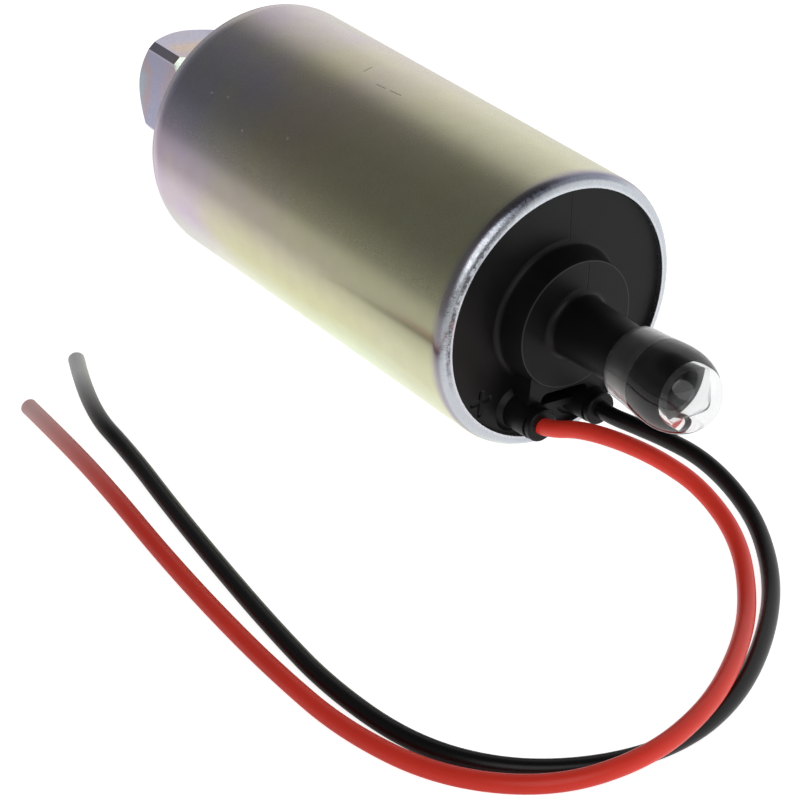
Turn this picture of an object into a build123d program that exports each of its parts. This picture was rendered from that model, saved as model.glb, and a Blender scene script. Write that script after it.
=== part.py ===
from build123d import *

import os
from math import atan2, cos, degrees, pi, radians, sin, tan

# Electric in-line fuel pump, a solenoid plunger pump in a drawn steel can. Millimetres.
# X runs along the can's axis towards the outlet, Z is up and the origin is the middle of the can.
# The pump lies on its side, rolled a little about its axis by the pull of its two wires.

# Can
can_diameter = 48.0
can_length = 90.0
can_wall = 1.1
rim_roll = 2.2
back_round = 6.5
roll_angle = -6.0
quarter_turn = 90.0

# Clearances
case_gap = 0.2
slip_gap = 0.1
running_gap = 0.08
rest_gap = 0.3
seat_gap = 0.05
pin_gap = 0.04
neck_gap = 0.3

# End cap
disc_thickness = 6.5
hub_radius = 12.4
hub_length = 7.9
pedestal_base_radius = 12.0
pedestal_face_radius = 11.1
pedestal_height = 5.2
pedestal_fillet = 1.0
neck_base_radius = 5.4
neck_tip_radius = 4.9
neck_fillet = 1.2
neck_length = 19.5
barb_radius = 5.7
barb_length = 6.5
barb_land = 1.8
barb_nose_radius = 4.9
outlet_bore_radius = 3.4

# Front spacer, the ring that closes the bay for the circuit board
bay_depth = 10.4
front_spacer_wall = 1.8

# Wire exits
boss_pitch = 12.4
boss_drop = 16.1
boss_base_radius = 3.3
boss_tip_radius = 2.95
boss_height = 7.1
boss_foot = 0.8
collar_radius = 2.85
collar_length = 1.1
collar_round = 0.4
collar_groove_width = 0.5
collar_groove_depth = 0.35
web_height = 4.5
web_wall = 2.6
web_floor_wall = 2.4
pocket_top = 11.9
pocket_round = 1.4
bar_height = 3.0
wire_diameter = 2.87
wire_straight = 2.4
bend_share = 0.45

# Circuit board and its parts
board_thickness = 1.6
board_standoff = 4.4
board_edge_gap = 0.5
post_radius = 1.8
post_angles = [90.0, 200.0, 340.0]
screw_shank_radius = 1.1
screw_head_radius = 2.1
screw_head_height = 1.3
screw_depth = 3.6
screw_slot_width = 0.6
transistor_length = 9.5
transistor_height = 4.2
transistor_edge = 0.7
capacitor_size = (7.0, 3.4, 3.8)
diode_radius = 1.3
diode_length = 5.0
resistor_radius = 1.1
resistor_length = 6.0
lead_wire_radius = 0.35
lead_stand = 0.6
lead_bend = 1.2
lead_bend_radius = 0.8
block_round = 0.4
transistor_pitch = 2.54
capacitor_pitch = 5.08
transistor_angle = 45.0
capacitor_angle = 135.0
diode_angle = 175.0
resistor_angle = 5.0
board_hub_gap = 0.4

# Magnet
pole_plate_thickness = 2.5
bobbin_gap = 1.7
bobbin_flange = 1.5
bobbin_wall = 1.0
coil_wrap = 0.4
flange_lip = 0.9
terminal_radius = 0.5
terminal_inset = 1.1
terminal_angles = [225.0, 315.0]
terminal_stand = 1.0
terminal_root = 1.0
tower_radius = 1.7
tower_height = 3.6

# Barrel and seals
barrel_bore_radius = 8.5
barrel_wall = 0.8
barrel_seat = 1.0
cap_seal_section = 2.1
barrel_seal_section = 1.6
seal_squeeze = 0.03
groove_side_gap = 0.3
barrel_seal_setback = 1.6

# Plunger and its stop
plunger_bore_radius = 5.2
valve_pocket_radius = 6.6
valve_pocket_depth = 8.0
valve_web = 2.5
oil_groove_depth = 0.3
oil_groove_width = 1.5
oil_groove_offsets = [-9.0, 0.0, 9.0]
stop_sleeve_length = 10.4
stop_sleeve_wall = 1.8
bumper_thickness = 3.5
bumper_hole_radius = 5.6
plunger_spring_radius = 6.9
plunger_spring_wire = 0.9
plunger_spring_turns = 4.5
plunger_spring_length = 13.9
plunger_edge = 0.5

# Valves, the same poppet at the inlet and in the plunger
valve_port_radius = 2.6
valve_lip_width = 0.8
valve_lip_height = 0.5
poppet_radius = 4.4
poppet_thickness = 1.4
stem_radius = 1.1
stem_gap = 0.1
stem_length = 5.2
valve_spring_radius = 2.4
valve_spring_wire = 0.4
valve_spring_turns = 2.5
valve_edge = 0.3
retainer_thickness = 1.0
retainer_setback = 1.3
retainer_port_radius = 1.3
retainer_port_circle = 4.1
retainer_port_count = 6
seat_thickness = 3.0
cage_wall = 1.3
cage_height = 6.2

# Inlet fitting
gasket_thickness = 1.0
fitting_flange_radius = 15.5
fitting_flange_thickness = 3.0
fitting_hub_length = 7.0
rear_spacer_wall = 2.4
rear_spacer_length = 13.4
fitting_neck_radius = 8.0
neck_reach = 10.3
square_across_flats = 17.5
square_length = 14.3
square_edge_chamfer = 1.25
port_radius = 4.35
port_depth = 12.0
port_countersink = 0.8
inlet_passage_radius = 3.0
chamber_radius = 5.8
chamber_depth = 13.0
strainer_rim_radius = 6.5
strainer_rim_thickness = 1.2
strainer_radius = 4.9
strainer_wall = 0.7
strainer_length = 10.5
strainer_windows = 4
strainer_window_width = 4.6
mesh_thickness = 0.2

# Clear push-on cap over the outlet
cover_mouth_radius = 6.2
cover_ridge_radius = 6.65
cover_ridge_from_mouth = 5.5
cover_full_radius = 6.95
cover_full_from_mouth = 9.2
cover_dome_length = 8.8
cover_gap = 0.08
cover_space = 4.25
cover_floor_radius = 3.2
cover_overlap = 12.0

# Levels along the axis that follow from the sizes above
can_radius = can_diameter / 2
can_bore = can_radius - can_wall
floor_level = -can_radius
front = can_length / 2
back = -can_length / 2
back_inside = back + can_wall
cap_face = front - can_wall
disc_back = cap_face - disc_thickness
front_plate_face = disc_back - bay_depth
front_plate_back = front_plate_face - pole_plate_thickness
gasket_front = back_inside + gasket_thickness
flange_front = gasket_front + fitting_flange_thickness
rear_plate_back = flange_front + rear_spacer_length
rear_plate_face = rear_plate_back + pole_plate_thickness
barrel_front = disc_back - barrel_seat
barrel_rear = flange_front + barrel_seat
barrel_radius = barrel_bore_radius + barrel_wall
barrel_socket_radius = barrel_radius + slip_gap
insert_radius = can_bore - case_gap
sleeve_radius = barrel_bore_radius - slip_gap
pedestal_face = cap_face + pedestal_height
neck_end = pedestal_face + neck_length
nozzle_end = neck_end + barb_length
boss_end = cap_face + boss_height
board_front = disc_back - board_standoff
board_rear = board_front - board_thickness
spacer_bore = insert_radius - front_spacer_wall
board_outer = spacer_bore - board_edge_gap
board_inner = hub_radius + board_hub_gap
board_middle = (board_outer + board_inner) / 2
stop_rear = barrel_front - stop_sleeve_length
bumper_rear = stop_rear - bumper_thickness
plunger_front = bumper_rear - rest_gap
seat_front = barrel_rear + seat_thickness
cage_front = seat_front + cage_height
plunger_rear = cage_front + plunger_spring_length
neck_rear = back - neck_reach
square_rear = neck_rear - square_length
wire_radius = wire_diameter / 2


def station(x):
    """Plane across the axis at x: its x runs to the pump's side, its y to the pump's own top."""
    turn = radians(roll_angle)
    return Plane(origin=(x, 0, 0), x_dir=(0, cos(turn), sin(turn)), z_dir=(1, 0, 0))


def outline(*points):
    """Half section above the axis, from (x, radius) points."""
    with BuildSketch(Plane.XY) as section:
        with BuildLine():
            Polyline(*points, close=True)
        make_face()
    return section.sketch


def band(x_from, x_to, inner, outer):
    """Half section of a plain ring between two stations and two radii."""
    return outline((x_from, inner), (x_to, inner), (x_to, outer), (x_from, outer))


def bead(x, radius, section):
    """Half section of a round ring, such as an O-ring, by its centre and its thickness."""
    with BuildSketch(Plane.XY) as circle:
        with Locations((x, radius)):
            Circle(section / 2)
    return circle.sketch


def spring(x_from, x_to, mean_radius, wire, turns):
    """Compression spring of one unbroken wire between two stations on the axis."""
    length = x_to - x_from - wire - 2 * seat_gap
    pitch = length / turns
    start = x_from + wire / 2 + seat_gap
    with BuildPart() as coil:
        with BuildLine() as path:
            Helix(pitch=pitch, height=length, radius=mean_radius, center=(start, 0, 0), direction=(1, 0, 0))
        with BuildSketch(Plane(origin=path.wire() @ 0, z_dir=path.wire() % 0)):
            RegularPolygon(wire / 2, 6)
        sweep(path=path.wire(), is_frenet=True)
    print("spring of", turns, "turns, gap between turns", round(pitch - wire, 2))
    return coil.part


def save(name, piece):
    """Label a finished piece and write it as a STEP file of its own."""
    piece.part.label = name
    export_step(piece.part, "parts/" + name + ".step")


os.makedirs("parts", exist_ok=True)

# Can: drawn cup with a rounded rear corner and its front rim rolled in over the end cap
back_round_inside = back_round - can_wall
rim_roll_inside = rim_roll - can_wall
rim_centre = (front - rim_roll, can_radius - rim_roll)
corner_centre = (back + back_round, can_radius - back_round)
inlet_hole_radius = fitting_neck_radius + neck_gap
with BuildPart() as can:
    with BuildSketch(Plane.XY):
        with BuildLine():
            CenterArc(rim_centre, rim_roll, 0, quarter_turn)
            Line((front - rim_roll, can_radius), (back + back_round, can_radius))
            CenterArc(corner_centre, back_round, quarter_turn, quarter_turn)
            Polyline((back, can_radius - back_round), (back, inlet_hole_radius),
                     (back_inside, inlet_hole_radius), (back_inside, can_radius - back_round))
            CenterArc(corner_centre, back_round_inside, quarter_turn, quarter_turn)
            Line((back + back_round, can_bore), (front - rim_roll, can_bore))
            CenterArc(rim_centre, rim_roll_inside, 0, quarter_turn)
            Line((cap_face, can_radius - rim_roll), (front, can_radius - rim_roll))
        make_face()
    revolve(axis=Axis.X)
save("can", can)

# End cap: one moulding with disc, pedestal, hose nozzle, wire bosses, posts and barrel hub
cap_seal_front = disc_back + cap_seal_section + groove_side_gap
cap_groove_floor = can_bore - cap_seal_section - seal_squeeze
barrel_groove_top = barrel_radius + barrel_seal_section + seal_squeeze
hub_rear = disc_back - hub_length
front_seal_rear = hub_rear + barrel_seal_setback
barrel_seal_groove = barrel_seal_section + groove_side_gap
disc_round = rim_roll_inside
boss_places = [(-boss_pitch / 2, -boss_drop), (boss_pitch / 2, -boss_drop)]
with BuildPart() as end_cap:
    with BuildSketch(Plane.XY):
        with BuildLine():
            Polyline((barrel_front, 0), (barrel_front, barrel_socket_radius), (hub_rear, barrel_socket_radius),
                     (hub_rear, hub_radius), (disc_back, hub_radius), (disc_back, cap_groove_floor),
                     (cap_seal_front, cap_groove_floor), (cap_seal_front, insert_radius),
                     (cap_face - disc_round, insert_radius))
            CenterArc((cap_face - disc_round, insert_radius - disc_round), disc_round, 0, quarter_turn)
            Polyline((cap_face, insert_radius - disc_round), (cap_face, pedestal_base_radius),
                     (pedestal_face, pedestal_face_radius), (pedestal_face, neck_base_radius),
                     (neck_end, neck_tip_radius), (neck_end, barb_radius), (neck_end + barb_land, barb_radius),
                     (nozzle_end, barb_nose_radius), (nozzle_end, 0), (barrel_front, 0))
        make_face()
    revolve(axis=Axis.X)
    foot = end_cap.edges().filter_by(GeomType.CIRCLE)
    fillet(foot.filter_by(lambda edge: abs(edge.radius - pedestal_base_radius) < seat_gap), pedestal_fillet)
    foot = end_cap.edges().filter_by(GeomType.CIRCLE)
    fillet(foot.filter_by(lambda edge: abs(edge.radius - neck_base_radius) < seat_gap), neck_fillet)

    # Web under the pedestal that ties the two wire bosses to it
    with BuildSketch(station(cap_face)):
        with Locations((0, -boss_drop / 2 - pedestal_face_radius / 4)):
            Rectangle(boss_pitch + web_wall, boss_drop - pedestal_face_radius / 2)
    extrude(amount=web_height)
    for place in boss_places:
        with BuildSketch(station(cap_face)):
            with Locations(place):
                Circle(boss_base_radius + boss_foot)
        extrude(amount=boss_foot, taper=quarter_turn / 2)

    # Moulded pocket between the bosses, open below the bar that joins them
    pocket_depth = boss_drop - web_floor_wall / 2 - pocket_top
    with BuildSketch(station(cap_face)):
        with Locations((0, -pocket_top - pocket_depth / 2)):
            RectangleRounded(boss_pitch - web_wall, pocket_depth, min(pocket_round, pocket_depth / 2.2))
    extrude(amount=pedestal_height, mode=Mode.SUBTRACT)
    with BuildSketch(station(cap_face + bar_height)):
        with Locations((0, -boss_drop)):
            Rectangle(boss_pitch - web_wall, web_floor_wall + slip_gap)
    extrude(amount=web_height, mode=Mode.SUBTRACT)

    # Bosses: a tapered tube, a groove and a round-edged collar
    for place in boss_places:
        with BuildSketch(station(cap_face)):
            with Locations(place):
                Circle(boss_base_radius)
        extrude(amount=boss_height - collar_length, taper=degrees(atan2(
            boss_base_radius - boss_tip_radius, boss_height - collar_length)))
        with BuildSketch(station(boss_end - collar_length - collar_groove_width)):
            with Locations(place):
                Circle(boss_base_radius)
                Circle(boss_tip_radius - collar_groove_depth, mode=Mode.SUBTRACT)
        extrude(amount=collar_groove_width, mode=Mode.SUBTRACT)
        with BuildSketch(station(boss_end - collar_length)):
            with Locations(place):
                Circle(collar_radius)
        extrude(amount=collar_length)
    collars = end_cap.edges().filter_by(GeomType.CIRCLE)
    fillet(collars.filter_by(lambda edge: abs(edge.radius - collar_radius) < seat_gap / 2
                             and edge.center().X > boss_end - collar_length / 2), collar_round)

    # Posts that carry the circuit board
    for angle in post_angles:
        with BuildSketch(station(board_front)):
            with PolarLocations(board_middle, 1, start_angle=angle):
                Circle(post_radius)
                Circle(screw_shank_radius + pin_gap, mode=Mode.SUBTRACT)
        extrude(amount=board_standoff)

    # Bores: the outlet, the seal grooves and the two wire holes
    revolve(band(barrel_front, nozzle_end, 0, outlet_bore_radius), axis=Axis.X, mode=Mode.SUBTRACT)
    revolve(band(front_seal_rear, front_seal_rear + barrel_seal_groove, barrel_radius, barrel_groove_top),
            axis=Axis.X, mode=Mode.SUBTRACT)
    for place in boss_places:
        with BuildSketch(station(disc_back)):
            with Locations(place):
                Circle(wire_radius + pin_gap)
        extrude(amount=boss_end - disc_back, mode=Mode.SUBTRACT)
save("end_cap", end_cap)

with BuildPart() as end_cap_seal:
    seal_radius = can_bore - cap_seal_section / 2 - seal_squeeze / 2
    revolve(bead((disc_back + cap_seal_front) / 2, seal_radius, cap_seal_section), axis=Axis.X)
save("end_cap_seal", end_cap_seal)

# Clear push-on cap: a thin sleeve over the barb, fullest ahead of its ridge, with a thick domed end
cover_mouth = nozzle_end - cover_overlap
cover_full = cover_mouth + cover_full_from_mouth
cover_tip = cover_full + cover_dome_length
cover_floor = nozzle_end + cover_space
cover_bore_radius = barb_radius + cover_gap
with BuildPart() as outlet_cap:
    with BuildSketch(Plane.XY):
        with BuildLine():
            Line((cover_mouth, cover_bore_radius), (cover_mouth, cover_mouth_radius))
            Spline((cover_mouth, cover_mouth_radius),
                   (cover_mouth + cover_ridge_from_mouth, cover_ridge_radius),
                   (cover_full, cover_full_radius), tangents=[(1, 0.05), (1, 0)])
            EllipticalCenterArc((cover_full, 0), cover_dome_length, cover_full_radius, 0, arc_size=quarter_turn)
            Polyline((cover_tip, 0), (cover_floor, 0), (cover_floor, cover_floor_radius),
                     (nozzle_end + seat_gap, cover_bore_radius), (cover_mouth, cover_bore_radius))
        make_face()
    revolve(axis=Axis.X)
save("outlet_cap", outlet_cap)

# Wires: from the boss mouths down to the floor, round one wide bend and back beside the can
floor_centre = floor_level + wire_radius
red_boss, black_boss = boss_places
red_route = [
    (58.0, -6.2, -13.6), (64.5, -3.7, -12.9), (71.5, -0.9, -13.6), (79.5, 1.2, -15.8),
    (89.9, -0.4, -19.1), (101.2, -8.7, -20.9), (110.6, -19.7, -19.8), (117.9, -32.2, -19.3),
    (121.1, -46.1, -19.3), (117.2, -59.5, -20.5), (104.8, -69.3, -22.0), (88.3, -73.5, floor_centre),
    (71.5, -73.7, floor_centre), (53.9, -72.7, floor_centre), (35.6, -70.9, floor_centre),
    (18.6, -68.6, floor_centre), (1.8, -66.9, floor_centre), (-13.9, -66.1, floor_centre)]
black_route = [
    (58.2, 5.4, -16.4), (64.5, 7.1, -16.6), (71.0, 8.5, -17.2), (78.5, 8.7, -19.1),
    (87.0, 6.7, -21.3), (98.1, -0.7, floor_centre), (108.0, -11.8, floor_centre),
    (115.4, -24.2, floor_centre), (118.4, -36.7, floor_centre), (115.9, -49.3, floor_centre),
    (108.5, -60.7, floor_centre), (96.5, -67.7, floor_centre), (79.2, -69.5, floor_centre),
    (62.7, -68.1, floor_centre), (44.8, -65.8, floor_centre), (26.6, -63.1, floor_centre),
    (9.0, -60.0, floor_centre), (-7.9, -58.2, floor_centre), (-22.7, -51.7, floor_centre)]


def wire(name, boss, route):
    """Insulated wire along straight runs joined by tangent arcs, from its boss mouth to its cut end."""
    mouth = station(boss_end).from_local_coords(Vector(*boss))
    corners = [mouth, mouth + Vector(wire_straight, 0, 0)] + [Vector(*point) for point in route]
    radii = []
    for before, here, after in zip(corners, corners[1:], corners[2:]):
        arriving = here - before
        leaving = after - here
        half_turn = radians(arriving.get_angle(leaving)) / 2
        room = arriving.length if radii else 2 * arriving.length
        radii.append(bend_share * min(room, leaving.length) / tan(half_turn))
    with BuildPart() as tube:
        with BuildLine() as path:
            FilletPolyline(*corners, radius=radii)
        with BuildSketch(Plane(origin=path.wire() @ 0, z_dir=path.wire() % 0)):
            Circle(wire_radius)
        sweep(path=path.wire())
    length = path.wire().length
    print(name, "bend radii", [round(radius, 1) for radius in radii])
    print(name, "length", round(length, 1), "volume against section times length",
          round(tube.part.volume / (pi * wire_radius ** 2 * length), 4))
    return tube


save("wire_red", wire("wire_red", red_boss, red_route))
save("wire_black", wire("wire_black", black_boss, black_route))


def tail(boss):
    """The same wire inside its boss, as far as the circuit board."""
    with BuildPart() as lead:
        with BuildSketch(station(board_front)):
            with Locations(boss):
                Circle(wire_radius)
        extrude(amount=boss_end - board_front)
    return lead


save("lead_tail_red", tail(red_boss))
save("lead_tail_black", tail(black_boss))

# Front spacer between the end cap and the front pole plate
with BuildPart() as front_spacer:
    revolve(band(front_plate_face, disc_back, spacer_bore, insert_radius), axis=Axis.X)
save("front_spacer", front_spacer)

# Components on the board's rear face, their leads through the board
transistor_size = (transistor_length, board_outer - board_inner - 2 * transistor_edge, transistor_height)
transistor_leads = [-transistor_pitch, 0, transistor_pitch]
capacitor_leads = [-capacitor_pitch / 2, capacitor_pitch / 2]
diode_reach = diode_length / 2 + lead_bend
resistor_reach = resistor_length / 2 + lead_bend
diode_leads = [-diode_reach, diode_reach]
resistor_leads = [-resistor_reach, resistor_reach]


def on_circle(angle, radius):
    """Point in a station's own x and y, by its angle and its radius from the axis."""
    return Vector(radius * cos(radians(angle)), radius * sin(radians(angle)))


def crosswise(angle, x):
    """Plane through the middle of a component, facing along the circle that the components sit on."""
    level = station(x)
    middle = level.from_local_coords(on_circle(angle, board_middle))
    ahead = level.from_local_coords(on_circle(angle, board_middle) + on_circle(angle + quarter_turn, 1))
    return Plane(origin=middle, x_dir=(1, 0, 0), z_dir=ahead - middle)


def block_component(angle, size, leads):
    """Moulded block on the board's rear face, by its length along the circle, width and height."""
    length, width, height = size
    with BuildPart() as body:
        with BuildSketch(station(board_rear - height)):
            with PolarLocations(board_middle, 1, start_angle=angle):
                RectangleRounded(width, length, block_round)
        extrude(amount=height)
        with BuildSketch(station(board_rear)):
            with PolarLocations(board_middle, 1, start_angle=angle):
                with Locations(*[(0, offset) for offset in leads]):
                    Circle(lead_wire_radius)
        extrude(amount=board_thickness + lead_stand)
    return body


def axial_component(angle, radius, length, leads):
    """Round body lying along the circle, on one wire bent up through the board at both ends."""
    across = crosswise(angle, board_rear - radius - seat_gap)
    lead_top = radius + seat_gap + board_thickness + lead_stand
    near, far = leads
    corners = [across.from_local_coords(Vector(*point)) for point in
               [(lead_top, 0, near), (0, 0, near), (0, 0, far), (lead_top, 0, far)]]
    with BuildPart() as body:
        with BuildLine() as path:
            FilletPolyline(*corners, radius=lead_bend_radius)
        with BuildSketch(Plane(origin=path.wire() @ 0, z_dir=path.wire() % 0)):
            Circle(lead_wire_radius)
        sweep(path=path.wire())
        with BuildSketch(across):
            Circle(radius)
        extrude(amount=length / 2, both=True)
    return body


save("drive_transistor", block_component(transistor_angle, transistor_size, transistor_leads))
save("film_capacitor", block_component(capacitor_angle, capacitor_size, capacitor_leads))
save("suppression_diode", axial_component(diode_angle, diode_radius, diode_length, diode_leads))
save("bias_resistor", axial_component(resistor_angle, resistor_radius, resistor_length, resistor_leads))

# Circuit board: a ring round the barrel hub, held on three posts
with BuildPart() as circuit_board:
    with BuildSketch(station(board_rear)):
        Circle(board_outer)
        Circle(board_inner, mode=Mode.SUBTRACT)
        for angle in post_angles:
            with PolarLocations(board_middle, 1, start_angle=angle):
                Circle(screw_shank_radius + pin_gap, mode=Mode.SUBTRACT)
        for angle in terminal_angles:
            with PolarLocations(board_middle - terminal_inset, 1, start_angle=angle):
                Circle(terminal_radius + pin_gap, mode=Mode.SUBTRACT)
        for angle, leads in [(transistor_angle, transistor_leads), (capacitor_angle, capacitor_leads),
                             (diode_angle, diode_leads), (resistor_angle, resistor_leads)]:
            with PolarLocations(board_middle, 1, start_angle=angle):
                with Locations(*[(0, offset) for offset in leads]):
                    Circle(lead_wire_radius + pin_gap, mode=Mode.SUBTRACT)
    extrude(amount=board_thickness)
save("circuit_board", circuit_board)

with BuildPart() as board_screws:
    for angle in post_angles:
        with BuildSketch(station(board_rear - screw_head_height)):
            with PolarLocations(board_middle, 1, start_angle=angle):
                Circle(screw_head_radius)
                Rectangle(screw_slot_width, 2 * screw_head_radius, mode=Mode.SUBTRACT)
        extrude(amount=screw_head_height / 2)
        with BuildSketch(station(board_rear - screw_head_height / 2)):
            with PolarLocations(board_middle, 1, start_angle=angle):
                Circle(screw_head_radius)
        extrude(amount=screw_head_height / 2)
        with BuildSketch(station(board_rear)):
            with PolarLocations(board_middle, 1, start_angle=angle):
                Circle(screw_shank_radius)
        extrude(amount=board_thickness + screw_depth)
save("board_screws", board_screws)

# Magnet: pole plates, bobbin, winding, its wrap and the two terminal pins
coil_inner = barrel_socket_radius + bobbin_wall + seat_gap
flange_radius = insert_radius - bobbin_gap
wrap_outer = flange_radius - flange_lip
coil_outer = wrap_outer - coil_wrap - seat_gap
winding_front = front_plate_back - bobbin_flange
winding_rear = rear_plate_face + bobbin_flange
with BuildPart() as front_pole_plate:
    with BuildSketch(station(front_plate_back)):
        Circle(insert_radius)
        Circle(barrel_socket_radius, mode=Mode.SUBTRACT)
        for angle in terminal_angles:
            with PolarLocations(board_middle - terminal_inset, 1, start_angle=angle):
                Circle(tower_radius + slip_gap, mode=Mode.SUBTRACT)
    extrude(amount=pole_plate_thickness)
save("front_pole_plate", front_pole_plate)

with BuildPart() as rear_pole_plate:
    revolve(band(rear_plate_back, rear_plate_face, barrel_socket_radius, insert_radius), axis=Axis.X)
save("rear_pole_plate", rear_pole_plate)

with BuildPart() as bobbin:
    revolve(outline((rear_plate_face, barrel_socket_radius), (front_plate_back, barrel_socket_radius),
                    (front_plate_back, flange_radius), (winding_front, flange_radius),
                    (winding_front, coil_inner - seat_gap), (winding_rear, coil_inner - seat_gap),
                    (winding_rear, flange_radius), (rear_plate_face, flange_radius)), axis=Axis.X)
    for angle in terminal_angles:
        with BuildSketch(station(front_plate_back)):
            with PolarLocations(board_middle - terminal_inset, 1, start_angle=angle):
                Circle(tower_radius)
        extrude(amount=tower_height)
        with BuildSketch(station(front_plate_back - terminal_root)):
            with PolarLocations(board_middle - terminal_inset, 1, start_angle=angle):
                Circle(terminal_radius + pin_gap)
        extrude(amount=terminal_root + tower_height, mode=Mode.SUBTRACT)
save("bobbin", bobbin)

with BuildPart() as coil_winding:
    revolve(band(winding_rear, winding_front, coil_inner, coil_outer), axis=Axis.X)
save("coil_winding", coil_winding)

with BuildPart() as coil_wrap_sleeve:
    revolve(band(winding_rear, winding_front, coil_outer + seat_gap, wrap_outer), axis=Axis.X)
save("coil_wrap", coil_wrap_sleeve)

with BuildPart() as coil_terminals:
    for angle in terminal_angles:
        with BuildSketch(station(front_plate_back - terminal_root)):
            with PolarLocations(board_middle - terminal_inset, 1, start_angle=angle):
                Circle(terminal_radius)
        extrude(amount=board_front + terminal_stand - front_plate_back + terminal_root)
save("coil_terminals", coil_terminals)

# Barrel tube with a seal at each end
with BuildPart() as barrel_tube:
    revolve(band(barrel_rear, barrel_front, barrel_bore_radius, barrel_radius), axis=Axis.X)
save("barrel_tube", barrel_tube)

barrel_seal_radius = barrel_radius + (barrel_seal_section + seal_squeeze) / 2
fitting_hub_front = flange_front + fitting_hub_length
rear_seal_front = fitting_hub_front - barrel_seal_setback
rear_seal_rear = rear_seal_front - barrel_seal_groove
with BuildPart() as barrel_seal_front:
    revolve(bead(front_seal_rear + barrel_seal_groove / 2, barrel_seal_radius, barrel_seal_section),
            axis=Axis.X)
save("barrel_seal_front", barrel_seal_front)

with BuildPart() as barrel_seal_rear:
    revolve(bead(rear_seal_front - barrel_seal_groove / 2, barrel_seal_radius, barrel_seal_section),
            axis=Axis.X)
save("barrel_seal_rear", barrel_seal_rear)

# Plunger stop: a sleeve against the end cap and a rubber bumper behind it
with BuildPart() as stop_sleeve:
    revolve(band(stop_rear, barrel_front, sleeve_radius - stop_sleeve_wall, sleeve_radius), axis=Axis.X)
save("stop_sleeve", stop_sleeve)

with BuildPart() as plunger_bumper:
    revolve(band(bumper_rear, stop_rear, bumper_hole_radius, sleeve_radius - seat_gap), axis=Axis.X)
save("plunger_bumper", plunger_bumper)

# Plunger: hollow from the rear up to a web with a valve port, and a pocket for the valve in front
plunger_radius = barrel_bore_radius - running_gap
plunger_middle = (plunger_front + plunger_rear) / 2
pocket_floor = plunger_front - valve_pocket_depth
web_rear = pocket_floor - valve_web
lip_outer = valve_port_radius + valve_lip_width
with BuildPart() as plunger:
    revolve(outline((plunger_rear, plunger_bore_radius), (web_rear, plunger_bore_radius),
                    (web_rear, valve_port_radius), (pocket_floor + valve_lip_height, valve_port_radius),
                    (pocket_floor + valve_lip_height, lip_outer), (pocket_floor, lip_outer),
                    (pocket_floor, valve_pocket_radius), (plunger_front, valve_pocket_radius),
                    (plunger_front, plunger_radius - plunger_edge),
                    (plunger_front - plunger_edge, plunger_radius),
                    (plunger_rear + plunger_edge, plunger_radius),
                    (plunger_rear, plunger_radius - plunger_edge)), axis=Axis.X)
    for offset in oil_groove_offsets:
        groove_rear = plunger_middle + offset - oil_groove_width / 2
        revolve(band(groove_rear, groove_rear + oil_groove_width, plunger_radius - oil_groove_depth,
                     barrel_radius), axis=Axis.X, mode=Mode.SUBTRACT)
save("plunger", plunger)


def poppet(seat):
    """Valve disc with its guide stem towards the outlet, resting on a lip at the seat."""
    rear = seat + seat_gap
    face = rear + poppet_thickness
    with BuildPart() as valve:
        revolve(outline((rear, 0), (rear, poppet_radius - valve_edge), (rear + valve_edge, poppet_radius),
                        (face, poppet_radius), (face, stem_radius), (face + stem_length, stem_radius),
                        (face + stem_length, 0)), axis=Axis.X)
    return valve


transfer_seat = pocket_floor + valve_lip_height
transfer_face = transfer_seat + seat_gap + poppet_thickness
retainer_rear = plunger_front - retainer_setback - retainer_thickness
save("transfer_valve_poppet", poppet(transfer_seat))

with BuildPart() as transfer_valve_retainer:
    with BuildSketch(station(retainer_rear)):
        Circle(valve_pocket_radius - pin_gap)
        Circle(stem_radius + stem_gap, mode=Mode.SUBTRACT)
        with PolarLocations(retainer_port_circle, retainer_port_count):
            Circle(retainer_port_radius, mode=Mode.SUBTRACT)
    extrude(amount=retainer_thickness)
save("transfer_valve_retainer", transfer_valve_retainer)

with BuildPart() as transfer_valve_spring:
    add(spring(transfer_face, retainer_rear, valve_spring_radius, valve_spring_wire, valve_spring_turns))
save("transfer_valve_spring", transfer_valve_spring)

# Inlet valve: seat, poppet and a cage that guides the stem and carries the plunger spring
inlet_seat = seat_front + valve_lip_height
inlet_face = inlet_seat + seat_gap + poppet_thickness
cage_roof = cage_front - retainer_thickness
with BuildPart() as inlet_valve_seat:
    revolve(outline((barrel_rear, valve_port_radius), (inlet_seat, valve_port_radius),
                    (inlet_seat, lip_outer), (seat_front, lip_outer), (seat_front, sleeve_radius),
                    (barrel_rear, sleeve_radius)), axis=Axis.X)
save("inlet_valve_seat", inlet_valve_seat)
save("inlet_valve_poppet", poppet(inlet_seat))

with BuildPart() as inlet_valve_cage:
    revolve(outline((seat_front, sleeve_radius), (seat_front, sleeve_radius - cage_wall),
                    (cage_roof, sleeve_radius - cage_wall), (cage_roof, stem_radius + stem_gap),
                    (cage_front, stem_radius + stem_gap), (cage_front, sleeve_radius)), axis=Axis.X)
    with BuildSketch(station(cage_roof)):
        with PolarLocations(retainer_port_circle, retainer_port_count):
            Circle(retainer_port_radius)
    extrude(amount=retainer_thickness, mode=Mode.SUBTRACT)
save("inlet_valve_cage", inlet_valve_cage)

with BuildPart() as inlet_valve_spring:
    add(spring(inlet_face, cage_roof, valve_spring_radius, valve_spring_wire, valve_spring_turns))
save("inlet_valve_spring", inlet_valve_spring)

with BuildPart() as plunger_spring:
    add(spring(cage_front, plunger_rear, plunger_spring_radius, plunger_spring_wire, plunger_spring_turns))
save("plunger_spring", plunger_spring)

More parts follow.
